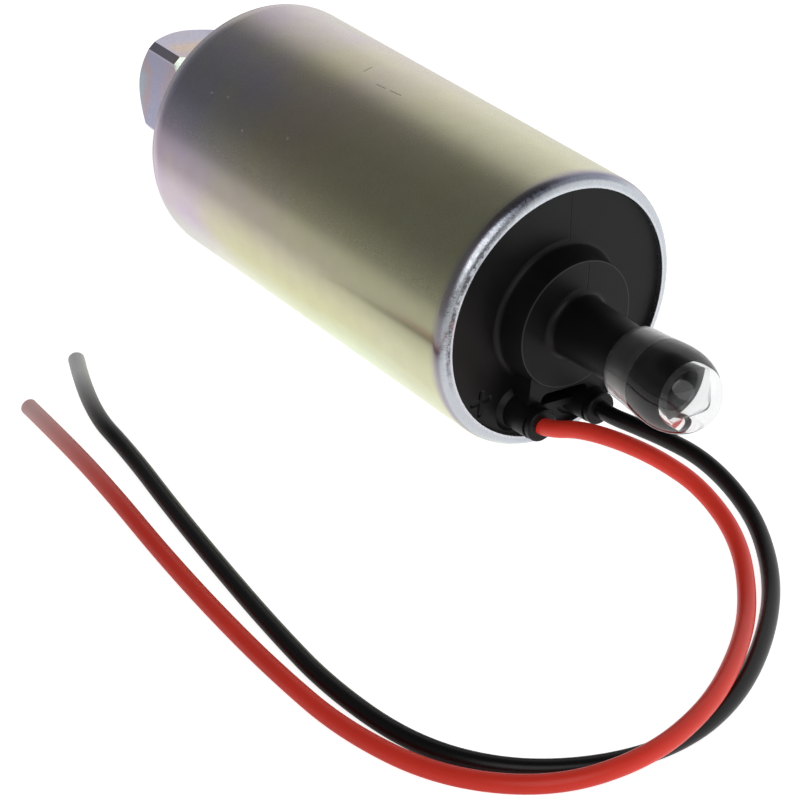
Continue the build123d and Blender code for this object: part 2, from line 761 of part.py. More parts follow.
# Inlet fitting: flange inside the can, neck through its back and a square end with a threaded port
half_flats = square_across_flats / 2
fitting_hub_radius = hub_radius
strainer_step = barrel_rear - strainer_rim_thickness
chamber_rear = barrel_rear - chamber_depth
port_floor = square_rear + port_depth
strainer_seat_radius = strainer_rim_radius + slip_gap
with BuildPart() as inlet_fitting:
    revolve(outline((neck_rear, 0), (neck_rear, fitting_neck_radius), (gasket_front, fitting_neck_radius),
                    (gasket_front, fitting_flange_radius), (flange_front, fitting_flange_radius),
                    (flange_front, fitting_hub_radius), (fitting_hub_front, fitting_hub_radius),
                    (fitting_hub_front, barrel_socket_radius), (rear_seal_front, barrel_socket_radius),
                    (rear_seal_front, barrel_groove_top), (rear_seal_rear, barrel_groove_top),
                    (rear_seal_rear, barrel_socket_radius), (barrel_rear, barrel_socket_radius),
                    (barrel_rear, 0)), axis=Axis.X)
    with BuildSketch(station(square_rear)):
        Rectangle(square_across_flats, square_across_flats)
        chamfer(vertices(), square_edge_chamfer)
    extrude(amount=square_length)
    revolve(outline((square_rear, half_flats), (square_rear, 2 * half_flats),
                    (square_rear + half_flats, 2 * half_flats)), axis=Axis.X, mode=Mode.SUBTRACT)
    revolve(outline((neck_rear, half_flats), (neck_rear, 2 * half_flats),
                    (neck_rear - half_flats, 2 * half_flats)), axis=Axis.X, mode=Mode.SUBTRACT)
    revolve(outline((square_rear, 0), (square_rear, port_radius + port_countersink),
                    (square_rear + port_countersink, port_radius), (port_floor, port_radius),
                    (port_floor, inlet_passage_radius), (chamber_rear, inlet_passage_radius),
                    (chamber_rear, chamber_radius), (strainer_step, chamber_radius),
                    (strainer_step, strainer_seat_radius), (barrel_rear, strainer_seat_radius),
                    (barrel_rear, 0)), axis=Axis.X, mode=Mode.SUBTRACT)
save("inlet_fitting", inlet_fitting)

with BuildPart() as inlet_gasket:
    revolve(band(back_inside, gasket_front, inlet_hole_radius + neck_gap, fitting_flange_radius), axis=Axis.X)
save("inlet_gasket", inlet_gasket)

with BuildPart() as rear_spacer:
    rear_spacer_bore = fitting_hub_radius + slip_gap
    revolve(band(flange_front, rear_plate_back, rear_spacer_bore, rear_spacer_bore + rear_spacer_wall),
            axis=Axis.X)
save("rear_spacer", rear_spacer)

# Strainer: a moulded basket with four windows, hung by its rim, and a mesh sleeve over it
strainer_floor = barrel_rear - strainer_length
window_length = strainer_length - strainer_rim_thickness - 2 * strainer_rim_thickness
with BuildPart() as strainer_frame:
    revolve(outline((barrel_rear, strainer_radius - strainer_wall), (barrel_rear, strainer_rim_radius),
                    (strainer_step, strainer_rim_radius), (strainer_step, strainer_radius),
                    (strainer_floor, strainer_radius), (strainer_floor, 0),
                    (strainer_floor + strainer_rim_thickness, 0),
                    (strainer_floor + strainer_rim_thickness, strainer_radius - strainer_wall)),
            axis=Axis.X)
    with BuildSketch(Plane.XY):
        with Locations((strainer_step - strainer_rim_thickness - window_length / 2, 0)):
            Rectangle(window_length, strainer_window_width)
    extrude(amount=strainer_rim_radius, both=True, mode=Mode.SUBTRACT)
    with BuildSketch(Plane.XZ):
        with Locations((strainer_step - strainer_rim_thickness - window_length / 2, 0)):
            Rectangle(window_length, strainer_window_width)
    extrude(amount=strainer_rim_radius, both=True, mode=Mode.SUBTRACT)
save("strainer_frame", strainer_frame)

with BuildPart() as strainer_mesh:
    mesh_inner = strainer_radius + pin_gap
    revolve(band(strainer_floor, strainer_step, mesh_inner, mesh_inner + mesh_thickness), axis=Axis.X)
save("strainer_mesh", strainer_mesh)
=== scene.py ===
import math
from functools import cached_property

import bmesh
import bpy
from mathutils import Matrix, Vector


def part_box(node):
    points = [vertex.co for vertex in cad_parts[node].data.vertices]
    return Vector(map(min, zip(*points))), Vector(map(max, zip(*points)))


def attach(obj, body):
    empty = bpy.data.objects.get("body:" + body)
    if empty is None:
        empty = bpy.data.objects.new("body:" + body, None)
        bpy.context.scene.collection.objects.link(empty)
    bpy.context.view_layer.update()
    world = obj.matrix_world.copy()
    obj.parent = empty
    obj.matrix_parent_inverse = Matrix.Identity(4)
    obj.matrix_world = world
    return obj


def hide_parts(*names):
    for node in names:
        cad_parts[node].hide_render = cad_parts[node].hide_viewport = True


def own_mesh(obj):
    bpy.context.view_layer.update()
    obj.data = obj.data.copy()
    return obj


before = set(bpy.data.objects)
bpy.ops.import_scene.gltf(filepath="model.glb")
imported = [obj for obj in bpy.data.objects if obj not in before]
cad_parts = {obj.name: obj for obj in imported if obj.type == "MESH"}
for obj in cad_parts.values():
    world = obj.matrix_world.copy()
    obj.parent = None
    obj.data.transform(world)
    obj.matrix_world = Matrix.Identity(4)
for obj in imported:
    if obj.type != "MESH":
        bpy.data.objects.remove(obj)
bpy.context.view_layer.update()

# Stations of the CAD model, in metres: X along the pump's axis, radii from it
can_front, can_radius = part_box("can")[1][:2]
disc_face = 0.0439
pedestal_face, pedestal_radius = 0.0491, 0.0111
floor_level = -can_radius


# Node helpers


class Graph:
    """A node tree, with short calls for its nodes. Their inputs are values or other nodes' outputs."""

    def __init__(self, tree):
        self.tree = tree

    def feed(self, node, inputs):
        for key, value in inputs.items():
            if isinstance(value, bpy.types.NodeSocket):
                self.tree.links.new(value, node.inputs[key])
            else:
                node.inputs[key].default_value = value

    def put(self, kind, inputs=None, **settings):
        """Add a node, set its options, and give its inputs values or links."""
        node = self.tree.nodes.new("ShaderNode" + kind)
        for key, value in settings.items():
            setattr(node, key, value)
        self.feed(node, inputs or {})
        return node

    def maths(self, how, first, second=0.0):
        return self.put("Math", {0: first, 1: second}, operation=how).outputs[0]

    def total(self, first, *others):
        for other in others:
            first = self.maths("ADD", first, other)
        return first

    def product(self, first, *others):
        for other in others:
            first = self.maths("MULTIPLY", first, other)
        return first

    def vector(self, how, first, second=(0.0, 0.0, 0.0), output="Vector"):
        return self.put("VectorMath", {0: first, 1: second}, operation=how).outputs[output]

    def levels(self, value, low, high, to_low=0.0, to_high=1.0):
        """Turn the range from low to high into another range, and hold what lies outside at its ends."""
        made = self.put("MapRange", {"Value": value, "From Min": low, "From Max": high,
                                     "To Min": to_low, "To Max": to_high})
        return made.outputs["Result"]

    def band(self, value, start, full, ebbing, end):
        """1 from full to ebbing, falling to 0 at start and at end."""
        return self.product(self.levels(value, start, full), self.levels(value, end, ebbing))

    def mix(self, share, first, second):
        """A number between two."""
        return self.put("Mix", {0: share, 2: first, 3: second}, data_type="FLOAT").outputs[0]

    def blend(self, share, first, second, how="MIX"):
        """A colour between two."""
        made = self.put("Mix", {0: share}, data_type="RGBA", blend_type=how)
        for socket, colour in ((6, first), (7, second)):
            linked = isinstance(colour, bpy.types.NodeSocket)
            self.feed(made, {socket: colour if linked else (*colour, 1.0)})
        return made.outputs[2]

    def layered(self, base, *layers):
        """A base colour with others over it, each as far as its own mask shows it."""
        for mask, colour in layers:
            base = self.blend(mask, base, colour)
        return base


class Look(Graph):
    """A new material, with the places on the object that its colours depend on."""

    def __init__(self, name):
        self.material = bpy.data.materials.new(name)
        self.material.use_nodes = True
        super().__init__(self.material.node_tree)
        self.shader = self.tree.nodes["Principled BSDF"]

    @cached_property
    def where(self):
        """The point on the object, in metres, in the row frame."""
        return self.put("TexCoord").outputs["Object"]

    @cached_property
    def parts(self):
        """The point's X, Y and Z."""
        return tuple(self.put("SeparateXYZ", {0: self.where}).outputs)

    @cached_property
    def radius(self):
        """The point's distance from the pump's axis."""
        return self.vector("LENGTH", self.vector("MULTIPLY", self.where, (0.0, 1.0, 1.0)), output="Value")

    def noise(self, scale, detail=3.0, rough=0.5):
        inputs = {"Vector": self.where, "Scale": scale, "Detail": detail, "Roughness": rough}
        return self.put("TexNoise", inputs).outputs["Fac"]

    def marks(self, lines, width):
        """Soft-edged marks in one mask, each along the straight line between two points of the surface."""
        mask = 0.0
        for start, end in lines:
            span = Vector(end) - Vector(start)
            offset = self.vector("SUBTRACT", self.where, start)
            along = self.vector("DOT_PRODUCT", offset, span / span.length_squared, "Value")
            share = self.levels(along, 0.0, 1.0)
            nearest = self.put("VectorMath", {0: span, "Scale": share}, operation="SCALE")
            apart = self.vector("DISTANCE", offset, nearest.outputs[0], "Value")
            mask = self.maths("MAXIMUM", self.levels(apart, width * 0.25, width * 0.75, 1.0, 0.0), mask)
        return mask

    def shade(self, inputs):
        self.feed(self.shader, inputs)

    def relief(self, height, distance, strength=1.0):
        bump = self.put("Bump", {"Height": height, "Distance": distance, "Strength": strength})
        self.shade({"Normal": bump.outputs["Normal"]})


def scaled(colour, factor):
    return tuple(min(channel * factor, 1.0) for channel in colour)


def finish(name, colour, rough, metal=0.0, coat=0.0):
    """A plain material with colour drift, uneven gloss and a fine grain."""
    look = Look(name)
    drift = look.noise(260.0, 4.0)
    grain = look.noise(900.0, 3.0, 0.6)
    look.shade({"Base Color": look.blend(drift, scaled(colour, 0.88), scaled(colour, 1.12)),
                "Roughness": look.levels(grain, 0.3, 0.7, rough * 0.85, min(rough * 1.2, 1.0)),
                "Metallic": metal, "Coat Weight": coat})
    look.relief(grain, 2e-5)
    return look.material


# Object helpers


def dress(node, material):
    """Give a CAD node its finish."""
    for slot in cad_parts[node].material_slots:
        slot.material = material


def add_object(name, data):
    made = bpy.data.objects.new(name, data)
    bpy.context.scene.collection.objects.link(made)
    return made


def skin(name, loops):
    """A closed smooth mesh through loops of points. One point is a pole, and an open end gets a face."""
    shape = bmesh.new()
    loops = [[shape.verts.new(point) for point in loop] for loop in loops]
    count = max(len(loop) for loop in loops)
    for first, second in zip(loops, loops[1:]):
        for here in range(count):
            there = (here + 1) % count
            corners = [first[here % len(first)], first[there % len(first)],
                       second[there % len(second)], second[here % len(second)]]
            shape.faces.new(list(dict.fromkeys(corners))).smooth = True
    for end in (loops[0], loops[-1]):
        if len(end) > 1:
            shape.faces.new(end)
    bmesh.ops.recalc_face_normals(shape, faces=shape.faces)
    mesh = bpy.data.meshes.new(name)
    shape.to_mesh(mesh)
    shape.free()
    return mesh


def ring(x, radius, sag, count=96):
    """A loop about the pump's axis, with its centre a little below it, or a pole where the radius is 0."""
    angles = [math.tau * step / count for step in range(count if radius > 0 else 1)]
    return [(x, radius * math.cos(angle), radius * math.sin(angle) - sag) for angle in angles]


def coil(x_from, x_to, mean_radius, thickness, turns, steps=40, sides=12):
    """The loops of a compression spring of one round wire between two stations on the axis."""
    rise = x_to - x_from - thickness
    loops = []
    for step in range(round(turns * steps) + 1):
        angle = math.tau * step / steps
        outward = Vector((0.0, math.cos(angle), math.sin(angle)))
        station = x_from + thickness / 2 + rise * angle / math.tau / turns
        centre = Vector((station, 0.0, 0.0)) + mean_radius * outward
        sideways = Vector((math.tau * turns * mean_radius, rise * math.sin(angle), -rise * math.cos(angle)))
        sideways.normalize()
        around = [math.tau * side / sides for side in range(sides)]
        loops.append([centre + thickness / 2 * (math.cos(way) * outward + math.sin(way) * sideways)
                      for way in around])
    return loops


def new_piece(name, mesh, material, body, node):
    """A piece of this script in a CAD node's place."""
    made = add_object(name, mesh)
    made.data.materials.append(material)
    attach(made, body)
    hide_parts(node)
    return made


# Camera, at the photograph's own place
camera = add_object("camera", bpy.data.cameras.new("camera"))
bpy.context.scene.camera = camera
camera.data.lens = 120
camera.data.sensor_width = 36
camera.data.clip_start = 0.01
camera_place = Vector((0.3304, -0.2420, 0.2127))
across = Vector((0.5927, 0.8054, 0.0)).normalized()
upward = Vector((-0.4210, 0.3098, 0.8525)).normalized()
turn = Matrix((across, upward, across.cross(upward))).transposed().to_4x4()
camera.matrix_world = Matrix.Translation(camera_place) @ turn


# Floor, world and lamp


def floor_white():
    """White to the camera. What the plating mirrors of it gets darker towards the near side."""
    look = Look("floor_white")
    sideways = look.parts[1]
    mirrored = look.total(look.levels(sideways, -0.062, -0.036, 0.0, 0.40),
                          look.levels(sideways, -0.28, -0.05, 0.0, 0.22))
    shown = look.mix(look.put("LightPath").outputs["Is Camera Ray"], mirrored, 0.82)
    look.shade({"Base Color": look.blend(look.noise(3.0), (0.93, 0.93, 0.93), (0.95, 0.95, 0.95)),
                "Roughness": 0.9, "Specular IOR Level": 0.0})
    glow = look.put("Emission", {"Color": (1, 1, 1, 1), "Strength": shown})
    both = look.put("AddShader", {0: look.shader.outputs[0], 1: glow.outputs[0]})
    look.feed(look.tree.nodes["Material Output"], {"Surface": both.outputs[0]})
    return look.material


def studio():
    """White to the camera. What the object mirrors is bright beyond it, dim on the near side and overhead."""
    world = bpy.data.worlds.new("studio")
    world.use_nodes = True
    graph = Graph(world.node_tree)
    direction = graph.put("TexCoord").outputs["Generated"]
    far_side = (-0.06, 1.0, -0.45)
    beyond = graph.vector("DOT_PRODUCT", direction, far_side, "Value")
    height = graph.put("SeparateXYZ", {0: direction}).outputs["Z"]
    walls = graph.total(graph.levels(beyond, -0.05, 0.27, 0.12, 0.60),
                        graph.levels(beyond, -0.52, -0.30, 0.0, 0.045),
                        graph.levels(beyond, 0.24, 0.80, 0.0, 0.30),
                        graph.levels(height, 0.0, 0.35, 0.12, 0.0))
    ambient = graph.product(walls, graph.levels(height, 0.72, 0.86, 1.0, 0.35))
    strength = graph.mix(graph.put("LightPath").outputs["Is Camera Ray"], ambient, 1.0)
    graph.feed(graph.tree.nodes["Background"], {"Color": (1, 1, 1, 1), "Strength": strength})
    return world


floor_reach = 3.0
floor_corners = [(x * floor_reach, y * floor_reach, floor_level)
                 for x, y in ((-1, -1), (1, -1), (1, 1), (-1, 1))]
floor_mesh = bpy.data.meshes.new("floor")
floor_mesh.from_pydata(floor_corners, [], [(0, 1, 2, 3)])
floor_mesh.materials.append(floor_white())
add_object("floor", floor_mesh)

bpy.context.scene.world = studio()

lamp = add_object("front", bpy.data.lights.new("front", "AREA"))
lamp.data.shape = "DISK"
lamp.data.size = 0.85
lamp.data.energy = 2.6
lamp.location = (0.62, -0.40, 0.55)
lamp.rotation_mode = "QUATERNION"
lamp_aim = Vector((0.05, -0.01, 0.0))
lamp.rotation_quaternion = (lamp_aim - lamp.location).to_track_quat("-Z", "Y")

# Wires: the points of the source's routes, in metres, on one smooth curve each
wire_radius = 0.001435
rest = floor_level + wire_radius
red_points = [
    (0.0510, -0.00785, -0.01536), (0.0534, -0.0077, -0.0148), (0.0580, -0.0061, -0.0130),
    (0.0645, -0.0037, -0.0126), (0.0715, -0.0009, -0.0136), (0.0795, 0.0012, -0.0158),
    (0.0899, -0.0004, -0.0191), (0.1012, -0.0087, -0.0209), (0.1106, -0.0197, -0.0198),
    (0.1179, -0.0322, -0.0193), (0.1211, -0.0461, -0.0193), (0.1172, -0.0595, -0.0205),
    (0.1048, -0.0693, -0.0220), (0.0883, -0.0735, rest), (0.0715, -0.0737, rest), (0.0539, -0.0727, rest),
    (0.0356, -0.0709, rest), (0.0186, -0.0686, rest), (0.0018, -0.0669, rest), (-0.0139, -0.0661, rest)]
black_points = [
    (0.0510, 0.00448, -0.01666), (0.0534, 0.00448, -0.01666), (0.0582, 0.0054, -0.0164),
    (0.0645, 0.0071, -0.0166), (0.0710, 0.0085, -0.0172), (0.0785, 0.0087, -0.0191),
    (0.0870, 0.0067, -0.0213), (0.0981, -0.0007, rest), (0.1080, -0.0118, rest), (0.1154, -0.0242, rest),
    (0.1184, -0.0367, rest), (0.1159, -0.0493, rest), (0.1085, -0.0607, rest), (0.0965, -0.0677, rest),
    (0.0792, -0.0695, rest), (0.0627, -0.0681, rest), (0.0448, -0.0658, rest), (0.0266, -0.0631, rest),
    (0.0090, -0.0600, rest), (-0.0079, -0.0582, rest), (-0.0227, -0.0517, rest)]


def insulation(name, colour, rough, free_end, fade, chalky):
    """Glossy extruded PVC with faint drag lines, dull and pale towards its free end.

    fade has the distances from that end where the paleness begins and where it is full."""
    look = Look(name)
    drift = look.noise(120.0, 4.0)
    fine = look.noise(2600.0, 2.0)
    near_end = look.levels(look.vector("DISTANCE", look.where, free_end, "Value"), *fade)
    worn = look.product(near_end, near_end)
    fresh = look.blend(drift, scaled(colour, 0.88), scaled(colour, 1.10))
    look.shade({"Base Color": look.blend(worn, fresh, chalky), "Specular IOR Level": 0.32,
                "Roughness": look.total(look.levels(fine, 0.3, 0.7, rough * 0.9, rough * 1.15),
                                        look.product(worn, 0.3))})
    look.relief(fine, 1e-6)
    return look.material


def wire(node, points, material):
    curve = bpy.data.curves.new(node, "CURVE")
    curve.dimensions = "3D"
    spline = curve.splines.new("NURBS")
    spline.points.add(len(points) - 1)
    for point, spot in zip(spline.points, points):
        point.co = (*spot, 1.0)
    spline.order_u = 3
    spline.use_endpoint_u = True
    spline.resolution_u = 14
    curve.bevel_depth = wire_radius
    curve.bevel_resolution = 7
    curve.use_fill_caps = True
    made = new_piece(node + "_cord", curve, material, "pump", node)


red_pvc = insulation("red_pvc", (0.90, 0.050, 0.030), 0.34, red_points[-1], (0.044, 0.003), (1.0, 0.64, 0.62))
black_pvc = insulation("black_pvc", (0.006, 0.006, 0.007), 0.30, black_points[-1], (0.0285, 0.0065),
                       (0.86, 0.86, 0.86))
wire("wire_red", red_points, red_pvc)
wire("wire_black", black_points, black_pvc)


# Plating of the can


def film_colour(look, corner):
    """The film on the can's side: khaki in front, lavender towards the back, greenish and paler low down."""
    x, y, z = look.parts
    wander = look.noise(30.0, 2.0, 0.45)
    along = look.total(x, look.levels(wander, 0.3, 0.7, -0.007, 0.007))
    level = look.total(z, look.levels(wander, 0.3, 0.7, -0.003, 0.003))
    khaki = look.blend(look.levels(along, -0.010, 0.030), (0.68, 0.62, 0.43), (0.67, 0.66, 0.43))
    rear = look.blend(look.levels(y, -0.013, -0.004), (0.53, 0.54, 0.71), (0.66, 0.59, 0.57))
    rear = look.blend(look.levels(level, 0.011, 0.002), rear, (0.71, 0.57, 0.67))
    drifting = look.blend(look.levels(look.noise(62.0), 0.36, 0.64), (0.60, 0.50, 0.70), (0.67, 0.66, 0.47))
    middle = look.product(look.band(along, -0.030, -0.016, 0.012, 0.028),
                          look.levels(level, 0.002, -0.006, 0.0, 0.6))
    low = look.blend(look.levels(look.noise(48.0, 2.0), 0.42, 0.62), (0.74, 0.86, 0.66), (0.75, 0.70, 0.50))
    coloured = look.layered(khaki, (look.levels(along, -0.010, -0.034), rear),
                            (look.levels(along, 0.020, -0.036, 0.08, 0.38), drifting),
                            (middle, (0.68, 0.69, 0.34)),
                            (look.levels(level, -0.007, -0.016, 0.0, 0.7), low))
    cloud = look.levels(look.noise(300.0, 4.0, 0.55), 0.35, 0.65, 0.0, 0.10)
    coloured = look.blend(cloud, coloured, (0.62, 0.58, 0.50), "MULTIPLY")
    border = look.levels(x, can_front - 0.0032, can_front - 0.0012, 0.0, 0.9)
    return look.layered(coloured, (corner, (0.22, 0.185, 0.165)), (border, (0.40, 0.36, 0.47)))


def rim_layers(look, rim, cut_edge, painted_lip_highlight, pitted):
    """Colours of the rolled rim: its silvery bare metal, a painted dark reflection on the upper part of its
    near side broken up by the pit noise, a painted dark reflection along its top, and a painted highlight
    line at its inner lip.
    """
    y, z = look.parts[1:]
    # Painted dark reflection: a dark streak on the near side of the roll, broken up by the pit noise.
    painted_dark_reflection = look.product(look.band(look.radius, 0.0220, 0.0222, 0.0227, 0.0230), cut_edge,
                          look.levels(y, -0.008, -0.016, 0.0, 0.9), look.levels(z, -0.008, 0.0),
                          look.levels(pitted, 0.38, 0.56, 0.35, 1.0))
    # Painted dark reflection: a dark blue-grey band along the top of the roll.
    top = look.product(look.band(look.radius, 0.0229, 0.0232, 0.0237, 0.02395), rim,
                       look.levels(z, 0.017, 0.022, 0.0, 0.8))
    return ((cut_edge, (0.60, 0.63, 0.68)), (painted_dark_reflection, (0.10, 0.11, 0.13)), (top, (0.20, 0.21, 0.29)),
            (look.product(painted_lip_highlight, 0.8), (0.84, 0.88, 0.94)))


def wear_masks(look):
    """Three scratches on top, and light specks: four on the near side and a scatter of faint ones."""
    scratches = look.marks([((-0.0070, -0.0013, 0.0240), (-0.0075, 0.0007, 0.0240)),
                            ((-0.0016, -0.0025, 0.0239), (0.0005, -0.0023, 0.0239)),
                            ((0.0018, -0.0022, 0.0239), (0.0044, -0.0019, 0.0239))], 0.00022)
    spots = ((-0.0295, -0.0178, 0.0161), (-0.0252, -0.0172, 0.0168), (-0.0175, -0.0195, 0.0140),
             (-0.0064, -0.0176, 0.0163))
    speck_length, speck_width = 0.0001, 0.0004
    specks = look.marks([((x, y, z), (x + speck_length, y, z)) for x, y, z in spots], speck_width)
    faint = look.levels(look.noise(1500.0, 1.0), 0.74, 0.80, 0.0, 0.4)
    return scratches, look.maths("MAXIMUM", specks, faint)


def yellow_zinc():
    """Yellow zinc over drawn steel, with a rolled rim that is nearly bare, carrying painted reflections and a
    painted highlight line.
    """
    look = Look("yellow_zinc")
    x, _, z = look.parts
    corner = look.levels(x, -0.0395, -0.0425, 0.0, 0.85)
    rim = look.levels(x, can_front - 0.0022, can_front - 0.0020)
    cut_edge = look.product(rim, look.levels(look.radius, 0.0238, 0.0235))
    # Painted highlight: a bright line on the front face at the rim's inner lip, which is also made less
    # metallic.
    painted_lip_highlight = look.product(look.levels(x, can_front - 0.0002, can_front - 0.00008),
                       look.levels(look.radius, 0.02228, 0.02203))
    pitted = look.noise(1300.0, 3.0, 0.7)
    fine = look.noise(3200.0, 2.0, 0.6)
    scratches, specks = wear_masks(look)
    coloured = look.layered(film_colour(look, corner), *rim_layers(look, rim, cut_edge, painted_lip_highlight, pitted),
                            (look.product(scratches, 0.7), (0.10, 0.09, 0.07)),
                            (look.product(specks, 0.6), (0.95, 0.95, 0.90)))
    rough = look.total(look.levels(fine, 0.3, 0.7, 0.26, 0.32), look.product(corner, 0.35),
                       look.product(cut_edge, look.levels(pitted, 0.4, 0.6, -0.10, 0.10)),
                       look.levels(z, 0.0100, 0.0065, 0.0, -0.10), look.product(specks, 0.3))
    look.shade({"Base Color": coloured, "Roughness": rough,
                "Metallic": look.levels(painted_lip_highlight, 0.0, 1.0, 1.0, 0.45)})
    look.relief(look.total(look.product(fine, 0.05), look.product(cut_edge, pitted)), 6e-5, 0.6)
    return look.material


dress("can", yellow_zinc())


# Plating of the inlet fitting


def port_thread(look, pitch=0.00094, port_front=-0.0580, port_radius=0.0048):
    """The crests of the thread in the inlet port."""
    x, y, z = look.parts
    around = look.product(look.maths("ARCTAN2", z, y), pitch / math.tau)
    phase = look.maths("PINGPONG", look.total(x, around), pitch / 2)
    return look.product(look.levels(look.radius, port_radius, port_radius - 0.0003),
                        look.levels(x, port_front, port_front - 0.0010), look.levels(phase, 0.0, pitch / 2))


def fitting_zinc():
    """Zinc that changes its tint along the fitting, with a painted highlight and an amber tint on the top
    flats, and a green-white painted reflection with painted shade on the conical chamfer.
    """
    look = Look("fitting_zinc")
    x, y, z = look.parts
    wander = look.levels(look.noise(110.0, 2.0), 0.3, 0.7, -0.003, 0.003)
    tint = look.put("ValToRGB", {"Fac": look.levels(look.total(x, wander), -0.0705, -0.0545)})
    stops = tint.color_ramp.elements
    stops[0].color = (0.48, 0.53, 0.61, 1)
    stops[1].color = (0.62, 0.50, 0.40, 1)
    for position, colour in ((0.14, (0.55, 0.44, 0.49)), (0.32, (0.46, 0.46, 0.62)),
                             (0.60, (0.50, 0.46, 0.60)), (0.80, (0.56, 0.46, 0.50))):
        stops.new(position).color = (*colour, 1)
    # Painted highlight: the top flats are lightened, standing in for the light from above.
    painted_top_highlight = look.levels(z, 0.0078, 0.0084, 0.0, 0.35)
    # Amber tint of the zinc on the top flats, laid within the painted highlight's mask.
    amber = look.product(look.band(x, -0.0650, -0.0625, -0.0605, -0.0585), painted_top_highlight,
                         look.levels(y, -0.0064, -0.0050, 0.0, 1.7))
    cone_apex = -0.04655
    from_cone = look.maths("ABSOLUTE", look.total(look.radius, x, -cone_apex))
    # Painted reflection on the conical chamfer: green-white, turning darker towards the near side as painted
    # shade.
    painted_cone_reflection = look.blend(look.levels(y, -0.0084, -0.0070), (0.24, 0.30, 0.23), (0.80, 0.88, 0.78))
    thread = port_thread(look)
    lines = look.noise(1800.0, 3.0)
    coloured = look.layered(tint.outputs["Color"], (painted_top_highlight, (0.95, 0.88, 0.97)), (amber, (0.90, 0.66, 0.42)),
                            (look.levels(from_cone, 0.00006, 0.00003), painted_cone_reflection),
                            (look.product(thread, 0.7), (0.10, 0.10, 0.11)))
    look.shade({"Base Color": coloured, "Metallic": 1.0,
                "Roughness": look.levels(lines, 0.3, 0.7, 0.26, 0.40)})
    look.relief(look.maths("SUBTRACT", look.product(lines, 0.02), thread), 5.0e-4, 0.6)
    return look.material


dress("inlet_fitting", fitting_zinc())


# End cap


def on_face(x, *lines):
    """Lines on a face across the axis, from the Y and Z of their ends."""
    return [((x, *start), (x, *end)) for start, end in lines]


def black_moulding():
    """Black moulding with a parting line, a painted highlight line around the pedestal's face, and the sign
    beside the red wire.
    """
    look = Look("black_moulding")
    flow = look.noise(140.0, 4.0, 0.6)
    grain = look.noise(1900.0, 3.0, 0.6)
    sign = look.marks(on_face(disc_face, ((-0.01665, -0.01168), (-0.0134, -0.01155)),
                              ((-0.01486, -0.01007), (-0.01519, -0.01391))), 0.0008)
    parting = look.marks(on_face(disc_face, ((0.0024, 0.0123), (0.0025, 0.0210)))
                         + on_face(pedestal_face, ((0.0020, 0.0058), (0.0022, 0.0103))), 0.00018)
    from_edge = look.put("CombineXYZ", {0: look.maths("SUBTRACT", look.parts[0], pedestal_face),
                                        1: look.maths("SUBTRACT", look.radius, pedestal_radius)})
    apart = look.vector("LENGTH", from_edge.outputs[0], output="Value")
    # Painted highlight: a light line painted where the pedestal's front face meets its side.
    painted_edge_highlight = look.levels(apart, 0.00008, 0.00022, 0.8, 0.0)
    coloured = look.layered(look.blend(flow, (0.0035, 0.0035, 0.0040), (0.0065, 0.0065, 0.0070)),
                            (look.maths("MAXIMUM", sign, parting), (0.0008, 0.0008, 0.0008)),
                            (painted_edge_highlight, (0.060, 0.060, 0.065)))
    look.shade({"Base Color": coloured, "Roughness": look.levels(flow, 0.3, 0.7, 0.34, 0.46),
                "Specular IOR Level": 0.22})
    sunk = look.total(sign, look.product(parting, 0.25))
    look.relief(look.maths("SUBTRACT", look.product(grain, 0.05), sunk), 2.5e-4)
    return look.material


dress("end_cap", black_moulding())


# Clear cap


def clear_vinyl(skirt_end=0.0687, wall_radius=0.00588):
    """Clear vinyl, frosted on the inside of the skirt, which stands off the neck."""
    look = Look("clear_vinyl")
    ripple = look.noise(260.0, 2.0)
    skirt = look.product(look.levels(look.parts[0], skirt_end, skirt_end - 0.0003),
                         look.levels(look.radius, wall_radius, wall_radius - 0.00006), 0.4)
    look.shade({"Base Color": look.blend(ripple, (0.96, 0.97, 0.98), (1.0, 1.0, 1.0)),
                "Roughness": look.total(look.levels(ripple, 0.3, 0.7, 0.02, 0.05), skirt),
                "Transmission Weight": 1.0, "IOR": 1.5})
    look.relief(ripple, 2e-5, 0.5)
    return look.material


def clear_cap_rings():
    """The cap from its tip over the dome and the skirt to its mouth, and back inside to the cavity's tip.

    Each ring has its station, its radius and how far its centre sags."""
    mouth, full, tip = 0.0631, 0.0723, 0.0811
    full_radius, full_sag, tip_sag = 0.00695, 0.00034, 0.00040
    dome_steps = 24
    dome = []
    for step in range(dome_steps + 1):
        share = step / dome_steps
        angle = math.pi / 2 * share
        dome.append((full + (tip - full) * math.cos(angle), full_radius * math.sin(angle),
                     tip_sag + (full_sag - tip_sag) * share))
    outside = [(0.0711, 0.00692, 0.00033), (0.0698, 0.00682, 0.00032), (0.0686, 0.00665, 0.00030),
               (0.0672, 0.00653, 0.00029), (0.0656, 0.00640, 0.00027), (0.0640, 0.00628, 0.00025),
               (0.0634, 0.00622, 0.00025), (0.06315, 0.00612, 0.00022), (mouth, 0.00595, 0.00012)]
    around_neck = [(0.06318, 0.00582), (0.0634, 0.00578), (0.0660, 0.00578), (0.0684, 0.00578)]
    on_barb = [(0.0686, 0.00560), (0.0704, 0.00560), (0.0750, 0.00480)]
    cavity = [(0.0752, 0.00478), (0.0763, 0.00454), (0.0765, 0.00440), (0.0800, 0.0)]
    return dome + outside + [(x, radius, 0.0) for x, radius in around_neck + on_barb + cavity]


clear_cap_mesh = skin("clear_cap", [ring(*sizes) for sizes in clear_cap_rings()])
new_piece("clear_cap", clear_cap_mesh, clear_vinyl(), "cover", "outlet_cap")

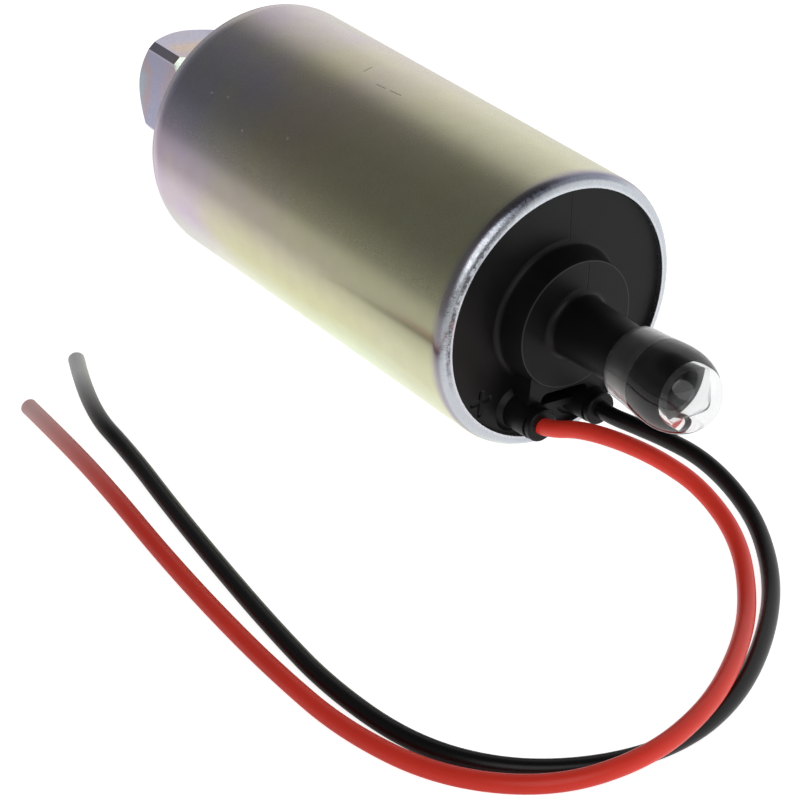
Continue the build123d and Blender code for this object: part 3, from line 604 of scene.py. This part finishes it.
# Inside pieces
rubber = finish("seal_rubber", (0.018, 0.018, 0.018), 0.55)
soft_iron = finish("soft_iron", (0.42, 0.42, 0.44), 0.38, 1.0)
turned_brass = finish("turned_brass", (0.80, 0.58, 0.26), 0.28, 1.0)
acetal = finish("acetal", (0.80, 0.79, 0.73), 0.45)
spacer_alloy = finish("spacer_alloy", (0.76, 0.76, 0.78), 0.32, 1.0)
inside = {
    "end_cap_seal": rubber, "barrel_seal_front": rubber, "barrel_seal_rear": rubber, "plunger_bumper": rubber,
    "lead_tail_red": red_pvc, "lead_tail_black": black_pvc,
    "circuit_board": finish("board_laminate", (0.05, 0.20, 0.08), 0.40, coat=0.5),
    "board_screws": finish("screw_zinc", (0.70, 0.70, 0.72), 0.30, 1.0),
    "drive_transistor": finish("component_black", (0.025, 0.025, 0.028), 0.50),
    "suppression_diode": finish("diode_black", (0.030, 0.030, 0.034), 0.45),
    "film_capacitor": finish("capacitor_coat", (0.58, 0.12, 0.03), 0.30),
    "bias_resistor": finish("resistor_coat", (0.60, 0.42, 0.22), 0.40),
    "front_pole_plate": soft_iron, "rear_pole_plate": soft_iron,
    "bobbin": finish("bobbin_nylon", (0.72, 0.68, 0.56), 0.50),
    "coil_wrap": finish("wrap_tape", (0.70, 0.50, 0.08), 0.25),
    "coil_terminals": finish("tinned_pin", (0.74, 0.74, 0.72), 0.25, 1.0),
    "barrel_tube": turned_brass, "stop_sleeve": acetal,
    "plunger": finish("ground_steel", (0.62, 0.62, 0.64), 0.22, 1.0),
    "transfer_valve_poppet": acetal, "inlet_valve_poppet": acetal,
    "transfer_valve_retainer": finish("retainer_steel", (0.66, 0.66, 0.68), 0.25, 1.0),
    "inlet_valve_seat": turned_brass, "inlet_valve_cage": turned_brass,
    "inlet_gasket": finish("gasket_fibre", (0.26, 0.07, 0.04), 0.75),
    "front_spacer": spacer_alloy, "rear_spacer": spacer_alloy,
    "strainer_frame": acetal,
}
for name, material in inside.items():
    dress(name, material)


# Springs


def spring(node, body, sizes):
    """A wound spring between the two ends of its CAD node's box."""
    ends = [corner[0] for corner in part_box(node)]
    mesh = skin(node + "_coil", coil(*ends, *sizes))
    wound = new_piece(node + "_coil", mesh, spring_steel, body, node)
    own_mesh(wound)


spring_steel = finish("spring_steel", (0.46, 0.46, 0.49), 0.30, 1.0)
# Mean radius, wire and turns
plunger_sizes = (0.0069, 0.0009, 4.5)
valve_sizes = (0.0024, 0.0004, 2.5)
spring("plunger_spring", "pump", plunger_sizes)
spring("transfer_valve_spring", "plunger", valve_sizes)
spring("inlet_valve_spring", "pump", valve_sizes)


# Winding and strainer gauze


def enamelled_winding():
    """Turns of enamelled wire."""
    look = Look("enamelled_winding")
    turns = look.put("TexWave", {"Vector": look.where, "Scale": 420.0, "Distortion": 0.6, "Detail": 1.0},
                     wave_type="BANDS", bands_direction="X", wave_profile="SIN").outputs["Fac"]
    look.shade({"Base Color": look.blend(turns, (0.20, 0.06, 0.02), (0.62, 0.25, 0.09)), "Roughness": 0.30,
                "Metallic": 0.8})
    look.relief(turns, 1.5e-4)
    return look.material


def strainer_gauze():
    """Crossed wires."""
    look = Look("strainer_gauze")
    warp, weft = (look.put("TexWave", {"Vector": look.where, "Scale": 900.0}, bands_direction=direction)
                  for direction in ("X", "DIAGONAL"))
    weave = look.maths("MAXIMUM", warp.outputs["Fac"], weft.outputs["Fac"])
    look.shade({"Base Color": look.blend(weave, (0.05, 0.05, 0.05), (0.66, 0.66, 0.66)), "Roughness": 0.35,
                "Metallic": 0.9})
    look.relief(weave, 1e-4)
    return look.material


dress("coil_winding", enamelled_winding())
dress("strainer_mesh", strainer_gauze())

bpy.context.scene.view_settings.view_transform = "Standard"
